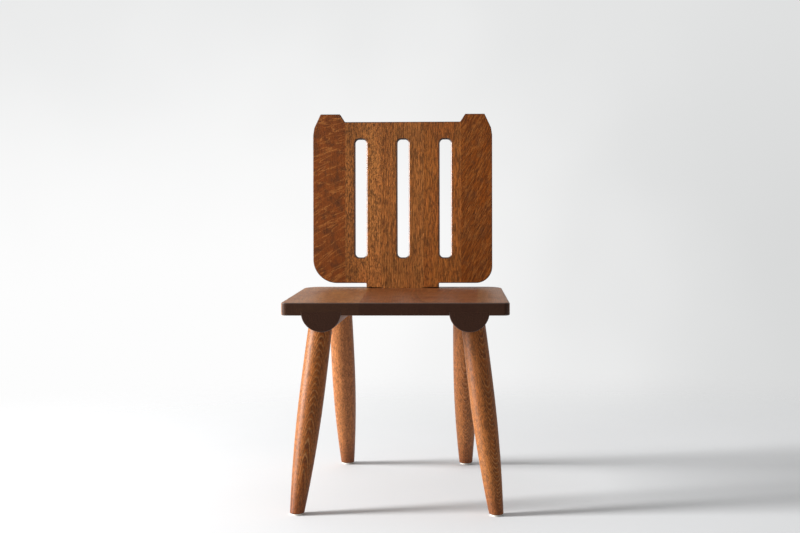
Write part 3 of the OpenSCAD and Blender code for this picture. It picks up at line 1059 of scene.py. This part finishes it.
@dataclass
class Leg:
    """A turned leg, swollen above its middle, with its shoulder coped to the batten."""

    batten: Batten
    end: End
    top: tuple[float, float]             # top of the axis, mm from the middle and the front
    arches: tuple[float, float]          # azimuth of the arched figure, and the rings' slope
    seed: int
    foot_r: float = 15.0
    belly_r: float = 26.4
    top_r: float = 24.5
    belly_at: float = 0.6
    tenon_r: float = 15.0
    shoulder_r: float = 20.0             # half way down the cope, from its rim to the tenon
    foot_arris: float = 2.0
    gap: float = 0.1
    search: float = 20.0                 # how far from the glide's top the sole can be, mm
    socket_share: float = 0.2            # share of the leg that its socket's cutter runs, each way
    sides: int = 96
    rings: int = 72
    foot_at: Vector = field(init=False)
    head_at: Vector = field(init=False)

    def __post_init__(self) -> None:
        """Stands the leg's axis on its glide."""
        low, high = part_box(f"glide_{self.name()}")
        self.foot_at = Vector(((low.x + high.x) / 2, (low.y + high.y) / 2, high.z))
        self.head_at = self.batten.seat.datum.point(self.batten.side.value * self.top[0],
                                                    self.top[1], self.batten.top())

    def name(self) -> str:
        """The leg's place, such as front_left."""
        return f"{self.end.value}_{self.batten.side.name.lower()}"

    def radius(self, height: float) -> float:
        """The turned radius.

        Args:
            height: Distance up the axis, mm.

        Returns:
            The radius there, mm, on two parabolas that meet at the belly.
        """
        share = max(height, 0.0) / ((self.head_at - self.foot_at).length / MM)
        if share < self.belly_at:
            return self.belly_r - (self.belly_r - self.foot_r) * (1 - share / self.belly_at) ** 2
        rest = (share - self.belly_at) / (1 - self.belly_at)
        return self.belly_r - (self.belly_r - self.top_r) * rest ** 2

    def find(self, test: Callable[[float], bool], low: float, high: float) -> float:
        """Finds where up the axis a test turns from false to true.

        Args:
            test: The test of a height.
            low: A height where it is false, mm.
            high: A height where it is true.

        Returns:
            The height where it turns.
        """
        for _ in range(HALVINGS):
            middle = (low + high) / 2
            low, high = (low, middle) if test(middle) else (middle, high)
        return (low + high) / 2

    def build(self) -> None:
        """Makes the leg, its coped shoulder and its tenon."""
        up = (self.head_at - self.foot_at).normalized()
        length = (self.head_at - self.foot_at).length / MM
        across = up.cross(Vector((0, 1, 0))).normalized()
        spokes = [across * math.cos(a) + up.cross(across) * math.sin(a)
                  for a in (2 * math.pi * k / self.sides for k in range(self.sides))]
        datum = self.batten.seat.datum
        bar_at, bar_to = self.batten.axis(0), self.batten.axis(self.batten.seat.depth)
        bar = (bar_to - bar_at).normalized()

        def spot(spoke: Vector, height: float, radius: float) -> Vector:
            """The point at a height up the axis and a radius from it."""
            return self.foot_at + (up * height + spoke * radius) * MM

        def in_bar(point: Vector) -> bool:
            """True if the point is inside the batten's round."""
            out = point - bar_at
            return (out - bar * out.dot(bar)).length < (self.batten.radius + self.gap) * MM

        def above_flat(point: Vector) -> bool:
            """True if the point is above the batten's flat."""
            return (point - datum.origin).dot(datum.through) > self.batten.top() * MM

        levels: list[list[Vector]] = []
        soles = [self.find(lambda h, s=s: spot(s, h, self.radius(h)).z > self.foot_at.z,
                           -self.search, self.search) for s in spokes]
        copes = [self.find(lambda h, s=s: in_bar(spot(s, h, self.radius(h))),
                           self.belly_at * length, length) for s in spokes]
        for k in range(ARRIS_STEPS):
            angle = math.pi / 2 * (1 - k / ARRIS_STEPS)
            rise = self.foot_arris * (1 - math.sin(angle))
            inset = self.foot_arris * (1 - math.cos(angle))
            levels.append([spot(s, h + rise, self.radius(h + rise) - inset)
                           for s, h in zip(spokes, soles)])
        for k in range(self.rings + 1):
            share = k / self.rings
            heights = [h0 + self.foot_arris + (h1 - h0 - self.foot_arris) * share
                       for h0, h1 in zip(soles, copes)]
            levels.append([spot(s, h, self.radius(h)) for s, h in zip(spokes, heights)])
        for radius in (self.shoulder_r, self.tenon_r):
            levels.append([spot(s, self.find(lambda h, s=s: in_bar(spot(s, h, radius)),
                                             self.belly_at * length, length), radius)
                           for s in spokes])
        levels.append([spot(s, self.find(lambda h, s=s: above_flat(spot(s, h, self.tenon_r)),
                                         (1 - self.socket_share) * length,
                                         (1 + self.socket_share) * length), self.tenon_r)
                       for s in spokes])
        mesh = bmesh.new()
        loft(mesh, [[mesh.verts.new(p) for p in level] for level in levels])
        piece = new_object(f"oak_leg_{self.name()}", mesh)
        smooth(piece, sharp_deg=40.0)
        billet = Billet.turned(self.foot_at, self.head_at, *self.arches, self.seed)
        oak = OAK_LEG if self.end is End.FRONT else OAK_LEG_PALE
        fit(piece, f"leg_{self.name()}", oak.material(self.name(), billet))

    def socket(self) -> bpy.types.Object:
        """The solid that cuts this leg's socket in its batten."""
        reach = (self.head_at - self.foot_at) * self.socket_share
        return rod(self.head_at - reach, self.head_at + reach, self.tenon_r + self.gap)


@dataclass
class Back:
    """The back board: five staves, edge-glued and upright, with three slots and two ears."""

    seat: Seat
    width: float = 403.0
    thickness: float = 22.0
    rake_deg: float = 4.05               # lean from the seat's normal
    low: float = 11.3                    # its lower edge above the seat
    corner_r: tuple[float, float] = (54.0, 37.0)
    ear: tuple[tuple[float, float, float], ...] = (    # x, y and round of its corners
        (201.5, 343.6, 20.0), (199.0, 360.0, 8.0), (184.5, 391.0, 2.0), (141.0, 391.0, 2.0),
        (130.0, 373.6, 3.0))
    neck_w: float = 163.0
    neck_r: float = 1.5
    shoulder: float = 1.0
    shoulder_arris: float = 2.0
    tenon_w: float = 90.0
    tenon_drop: float = 31.0             # its length below the seat
    mortise: tuple[float, float] = (-60.0, 20.0)     # how far its cutter reaches, both ways
    slot_w: float = 25.8                 # between its walls; its arrises make it look wider
    slot_x: tuple[float, float, float] = (-93.8, 1.2, 96.2)
    slot_y: tuple[float, float] = (69.0, 334.5)
    slot_r: float = 9.0
    arris: float = 1.5
    slot_arris: float = 3.2
    fine_arris: float = 0.5
    seams: tuple[float, float, float, float] = (-129.0, -48.0, 48.0, 132.0)
    datum: Datum = field(init=False)

    def __post_init__(self) -> None:
        """Finds the board's front plane from the frame."""
        seat = self.seat.datum
        lean = Matrix.Rotation(-math.radians(self.rake_deg), 3, "X")
        up = lean @ seat.through
        rearward = lean @ seat.along
        low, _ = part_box("back_stave_left")
        front = low.y - self.low * MM * up.y
        drop = (front - seat.origin.y) / seat.along.y * seat.along.z
        self.datum = Datum(Vector((0, front, seat.origin.z + drop)), up, rearward)

    def tenon_low(self) -> float:
        """Lower end of the tenon up the board's plane."""
        return -self.seat.thickness / math.cos(math.radians(self.rake_deg)) - self.tenon_drop

    def outline(self) -> list[Corner]:
        """Draws the board's outline.

        Returns:
            Its corners, anticlockwise from the lower left one.
        """
        half, neck, tenon = self.width / 2, self.neck_w / 2, self.tenon_w / 2
        soft, fine = self.arris, self.fine_arris
        foot = [Corner(tenon, self.tenon_low(), 0.0, fine),
                Corner(tenon, self.shoulder, 0.0, fine),
                Corner(neck, self.shoulder, self.neck_r, self.shoulder_arris),
                Corner(neck, self.low, self.neck_r, soft),
                Corner(half, self.low, self.corner_r[1], soft)]
        ear = [Corner(x, y, r, soft) for x, y, r in self.ear]
        left_foot, left_ear = ([replace(c, x=-c.x) for c in reversed(right)]
                               for right in (foot, ear))
        left_foot[0] = replace(left_foot[0], radius=self.corner_r[0])
        return [*left_foot, *foot, *ear, *left_ear]

    def slot(self, x: float) -> list[Corner]:
        """Draws one slot's outline.

        Args:
            x: Its middle, from the chair's middle.

        Returns:
            Its corners, clockwise, so that the wood is outside it.
        """
        half = self.slot_w / 2
        low, high = self.slot_y
        soft = self.slot_arris
        return [Corner(x - half, low, self.slot_r, soft),
                Corner(x - half, high, self.slot_r, soft),
                Corner(x + half, high, self.slot_r, soft),
                Corner(x + half, low, self.slot_r, soft)]

    def prism(self, grow: float) -> bpy.types.Object:
        """Makes the solid that cuts the tenon's mortise in the seat.

        Args:
            grow: How much larger than the tenon it is all round.

        Returns:
            The cutter.
        """
        half = self.tenon_w / 2 + grow
        low, high = self.mortise
        return hull(self.datum.point(x, y, z) for z in (-grow, self.thickness + grow)
                    for x, y in ((-half, low), (half, low), (half, high), (-half, high)))

    def build(self, cutters: Sequence[bpy.types.Object]) -> None:
        """Makes the five staves.

        Args:
            cutters: The solids that cut holes in the tenon.
        """
        slab = Slab(self.outline(), (0.0, self.thickness), [self.slot(x) for x in self.slot_x])
        board = carve(new_object("back_board", slab.build(self.datum)), cutters)
        staves = (Stave("left_outer", OAK_BACK_LEFT, (170.0, -6.0), 2, "oak_back_left"),
                  Stave("left", OAK_BACK_LIGHT, (120.0, -70.0), 7, "oak_back"),
                  Stave("middle", OAK_BACK, (-110.0, -70.0), 13, "oak_back"),
                  Stave("right", OAK_BACK_RED, (-150.0, -30.0), 19, "oak_back"),
                  Stave("right_outer", OAK_BACK_RIGHT, (160.0, -10.0), 31, "oak_back_right"))
        saw(board, "back", self.seams, staves,
            Billet(self.datum.origin, self.datum.along, self.datum.through * -1,
                   run_out=(0.02, 0.02)))


@dataclass
class Wedge:
    """The cross wedge that locks the back board's tenon under the seat."""

    seat: Seat
    width: float = 14.0
    front_y: float = 318.0               # its ends, behind the seat's front edge
    rear_y: float = 378.0
    thick: float = 20.0
    thin: float = 14.0
    gap: float = 0.1
    head_room: float = 3.0

    def hole(self) -> bpy.types.Object:
        """Makes the solid that cuts the wedge's hole in the tenon.

        Returns:
            The cutter.
        """
        low = -self.seat.thickness - self.gap
        half = self.width / 2 + self.gap
        return hull(self.seat.datum.point(x, y, z) for x in (-half, half)
                    for y, drop in ((self.front_y, self.thick), (self.rear_y, self.thin))
                    for z in (low - drop, low + self.head_room))

    def build(self) -> None:
        """Eases the frame's wedge and dresses it."""
        piece = frame["nodes"]["back_wedge"]
        weld = piece.modifiers.new("weld", "WELD")
        weld.merge_threshold = 0.01 * MM
        ease = piece.modifiers.new("ease", "BEVEL")
        ease.width = 0.8 * MM
        ease.segments = 3
        low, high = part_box("back_wedge")
        billet = Billet((low + high) / 2, self.seat.datum.along, Vector((0, 0, -1)), seed=41)
        piece.data.materials.clear()
        piece.data.materials.append(OAK_BATTEN.material("wedge", billet))
        log.info("back_wedge: kept from the frame, with eased edges")


@dataclass
class Glide:
    """A nylon glide under a foot, and the nail that holds it."""

    leg: Leg
    radius: float = 13.0
    thickness: float = 3.5
    ease: float = 1.0                    # round of its sliding edge
    chamfer: float = 0.4                 # of its upper edge
    recess_r: float = 3.25
    recess_h: float = 1.7
    mouth: float = 0.3                   # chamfer of the recess
    hole_gap: float = 0.05               # between the hole and the nail
    nail_r: float = 1.1
    head_r: float = 3.2
    head_t: float = 1.2
    head_low: float = 0.5
    dome: float = 0.35                   # rise of the head's round
    nail_top: float = 20.0
    point: float = 3.0                   # length of the nail's point
    point_r: float = 0.1
    sides: int = 64

    def turn(self, name: str, profile: Sequence[tuple[float, float]]) -> bpy.types.Object:
        """Turns a profile about the foot's upright axis.

        Args:
            name: The object's name.
            profile: Radius and height of each point, mm, from the axis to the axis.

        Returns:
            The turned piece.
        """
        mesh = bmesh.new()
        foot = Vector((self.leg.foot_at.x, self.leg.foot_at.y, 0))
        rings = []
        for radius, height in profile:
            turns = (2 * math.pi * k / self.sides for k in range(self.sides))
            rings.append([mesh.verts.new(foot + Vector((radius * math.cos(a), radius * math.sin(a),
                                                        height)) * MM) for a in turns])
        loft(mesh, rings)
        return new_object(name, mesh)

    def build(self, nylon: bpy.types.Material, steel: bpy.types.Material) -> None:
        """Makes the glide and its nail.

        Args:
            nylon: The glide's material.
            steel: The nail's material.
        """
        place = self.leg.name()
        bend = [math.pi / 2 * k / 5 for k in range(6)]
        disc = [(self.nail_r + self.hole_gap, self.recess_h), (self.recess_r, self.recess_h),
                (self.recess_r, self.mouth), (self.recess_r + self.mouth, 0.0),
                *((self.radius - self.ease + self.ease * math.sin(a),
                   self.ease * (1 - math.cos(a))) for a in bend),
                (self.radius, self.thickness - self.chamfer),
                (self.radius - self.chamfer, self.thickness)]
        piece = self.turn(f"nylon_glide_{place}", disc)
        smooth(piece)
        fit(piece, f"glide_{place}", nylon)
        neck = self.head_low + self.head_t
        nail = [*((self.head_r * math.sin(a), self.head_low + self.dome * (1 - math.cos(a)))
                  for a in bend[1:]),
                (self.head_r, neck), (self.nail_r, neck),
                (self.nail_r, self.nail_top - self.point), (self.point_r, self.nail_top)]
        piece = self.turn(f"steel_nail_{place}", nail)
        smooth(piece)
        fit(piece, f"nail_{place}", steel)


# ---------------------------------------------------------------- the studio

@dataclass(frozen=True)
class Studio:
    """A plain pale floor and soft light, most of it from a large panel on the left."""

    camera_at: tuple[float, float, float] = (0.205, -4.225, 1.006)
    yaw_deg: float = 2.79
    pitch_deg: float = -6.876
    roll_deg: float = -0.4
    lens_mm: float = 87.3
    sensor_mm: float = 36.0
    floor_r: float = 14.0
    floor_grey: str = "d8d9da"
    lit_middle_x: float = 0.4            # middle of the part of the floor that is seen
    lit_shape: tuple[float, float, float] = (0.62, 1.0, 0.0)     # its reach in x is longer
    lit_reach: tuple[float, float] = (0.55, 1.5)     # where it starts to fade, and is gone
    white: str = "fdfdfd"                # the backdrop, and the painted shade that greys it on the right and above
    painted_shade_right: str = "d8d9d9"
    painted_shade_top: str = "e2e3e3"
    key_at: tuple[float, float, float] = (-4.8, -0.83, 1.71)
    key_size: tuple[float, float] = (1.07, 2.7)      # width and height
    key_watts: float = 650.0
    fill_from: tuple[float, float, float] = (-0.72, 0.62, 0.3)   # the brightest wall
    fill: tuple[float, float] = (0.04, 0.85)                     # away from it, and near it

    def set_camera(self) -> None:
        """Puts the camera where the chair is looked at from."""
        data = bpy.data.cameras.new("camera")
        data.lens = self.lens_mm
        data.sensor_width = self.sensor_mm
        data.clip_end = 100.0
        camera = bpy.data.objects.new("camera", data)
        turn = (Matrix.Rotation(math.radians(self.yaw_deg), 4, "Z")
                @ Matrix.Rotation(math.radians(90 + self.pitch_deg), 4, "X")
                @ Matrix.Rotation(math.radians(self.roll_deg), 4, "Z"))
        camera.matrix_world = Matrix.Translation(self.camera_at) @ turn
        bpy.context.scene.collection.objects.link(camera)
        bpy.context.scene.camera = camera

    def floor_material(self) -> bpy.types.Material:
        """Makes the matt floor, which fades into the backdrop far from the chair.

        Returns:
            The material, which is clear when looked at from below.
        """
        material, put = new_material("matt painted floor")
        place = put("TexCoord")
        mottle = put("TexNoise", {"Vector": place.outputs["Object"], "Scale": 3.0,
                                  "Detail": 4.0})
        shade = put("MapRange", {"Value": mottle.outputs["Fac"], "From Min": 0.3,
                                 "From Max": 0.7, "To Min": 0.985, "To Max": 1.0})
        colour = put("VectorMath", {0: linear(self.floor_grey)[:3],
                                    1: put("CombineXYZ", {0: shade, 1: shade, 2: shade})},
                     operation="MULTIPLY")
        paint = put("BsdfPrincipled", {"Base Color": colour, "Roughness": 0.85,
                                       "Specular IOR Level": 0.2})
        far = put("VectorMath", {0: put("VectorMath", {0: place.outputs["Object"],
                                                       1: (-self.lit_middle_x, 0, 0)},
                                        operation="ADD"), 1: self.lit_shape},
                  operation="MULTIPLY")
        reach = put("VectorMath", {0: far}, operation="LENGTH")
        fade = put("MapRange", {"Value": reach.outputs["Value"], "From Min": self.lit_reach[0],
                                "From Max": self.lit_reach[1]}, **SOFT)
        under = put("NewGeometry").outputs["Backfacing"]
        clear = put("Math", {0: fade, 1: under}, operation="MAXIMUM")
        seen = put("LightPath")
        faded = put("Math", {0: clear, 1: seen.outputs["Is Camera Ray"]}, operation="MULTIPLY")
        surface = put("MixShader", {0: faded, 1: paint, 2: put("BsdfTransparent")})
        put("OutputMaterial", {"Surface": surface})
        return material

    def backdrop(self, put: partial, direction: bpy.types.NodeSocket) -> bpy.types.Node:
        """Makes the backdrop's colour: white, with painted shade that greys it to the right, away
        from the window light, and at the top.

        Args:
            put: add_node bound to a tree.
            direction: The way that is looked in.

        Returns:
            The node whose output is the colour.
        """
        parts = put("SeparateXYZ", {0: direction})
        cloud = put("TexNoise", {"Vector": direction, "Scale": 9.0, "Detail": 2.0,
                                 "Roughness": 0.5})
        # painted shade: the backdrop greys to the right and towards the top
        right = put("Math", {0: cloud.outputs["Fac"], 1: 0.12, 2: parts.outputs["X"]},
                    operation="MULTIPLY_ADD")
        share = put("MapRange", {"Value": right, "From Min": -0.06, "From Max": 0.24}, **SOFT)
        high = put("Math", {0: cloud.outputs["Fac"], 1: 0.08, 2: parts.outputs["Z"]},
                   operation="MULTIPLY_ADD")
        top = put("MapRange", {"Value": high, "From Min": -0.08, "From Max": 0.1,
                               "To Max": 0.8}, **SOFT)
        flat = put("Mix", {"Factor": share, "A": linear(self.white),
                           "B": linear(self.painted_shade_right)}, data_type="RGBA")
        return put("Mix", {"Factor": top, "A": flat, "B": linear(self.painted_shade_top)},
                   data_type="RGBA")

    def build(self) -> None:
        """Lays the floor and sets the lights and the world."""
        mesh = bmesh.new()
        bmesh.ops.create_circle(mesh, cap_ends=True, segments=96, radius=self.floor_r)
        floor = new_object("floor", mesh)
        floor.data.materials.append(self.floor_material())

        lamp = bpy.data.lights.new("window_light", "AREA")
        lamp.shape = "RECTANGLE"
        lamp.size, lamp.size_y = self.key_size
        lamp.energy = self.key_watts
        key = bpy.data.objects.new("window_light", lamp)
        key.location = self.key_at
        aim = Vector((0, 0, 0.4)) - Vector(self.key_at)
        key.rotation_euler = aim.to_track_quat("-Z", "Y").to_euler()
        bpy.context.scene.collection.objects.link(key)

        world = bpy.data.worlds.new("studio")
        world.use_nodes = True
        world.node_tree.nodes.clear()
        put = partial(add_node, world.node_tree)
        place = put("TexCoord")
        toward = put("VectorMath", {0: place.outputs["Generated"],
                                    1: Vector(self.fill_from).normalized()},
                     operation="DOT_PRODUCT")
        wrap = put("MapRange", {"Value": toward.outputs["Value"], "From Min": -1.0,
                                "From Max": 1.0, "To Min": self.fill[0],
                                "To Max": self.fill[1]})
        light = put("Background", {"Color": linear("ffffff"), "Strength": wrap})
        seen = put("LightPath")
        scenery = put("Background", {"Color": self.backdrop(put, place.outputs["Generated"]),
                                     "Strength": 1.0})
        mirrored = put("Math", {0: seen.outputs["Is Glossy Ray"],
                                1: seen.outputs["Is Transmission Ray"]}, operation="MAXIMUM")
        shown = put("Math", {0: seen.outputs["Is Camera Ray"], 1: mirrored},
                    operation="MAXIMUM")
        both = put("MixShader", {0: shown, 1: light, 2: scenery})
        put("OutputWorld", {"Surface": both})
        bpy.context.scene.world = world
        bpy.context.scene.view_settings.view_transform = "Standard"
        log.info("studio: floor, window light and world")


def main() -> None:
    """Builds the chair piece by piece, and the studio round it."""
    logging.basicConfig(level=logging.INFO, format="%(name)s: %(message)s")
    studio = Studio()
    studio.set_camera()
    seat = Seat()
    back = Back(seat)
    battens = {side: Batten(seat, side) for side in Side}
    seat.build([*(b.housing_cutter() for b in battens.values()), back.prism(0.1)])
    legs = [Leg(battens[Side.LEFT], End.FRONT, (157.5, 85.0), (14.0, 0.085), 5),
            Leg(battens[Side.RIGHT], End.FRONT, (157.5, 85.0), (36.0, -0.095), 8),
            Leg(battens[Side.LEFT], End.REAR, (138.8, 316.0), (120.0, 0.05), 14),
            Leg(battens[Side.RIGHT], End.REAR, (138.8, 316.0), (4.0, -0.08), 21)]
    for side, batten in battens.items():
        batten.build([leg.socket() for leg in legs if leg.batten.side is side])
    for leg in legs:
        leg.build()
    wedge = Wedge(seat)
    back.build([wedge.hole()])
    wedge.build()
    nylon, steel = MouldedNylon().material(), DrawnSteel().material()
    for leg in legs:
        Glide(leg).build(nylon, steel)
    studio.build()


if __name__ == "__main__":
    main()
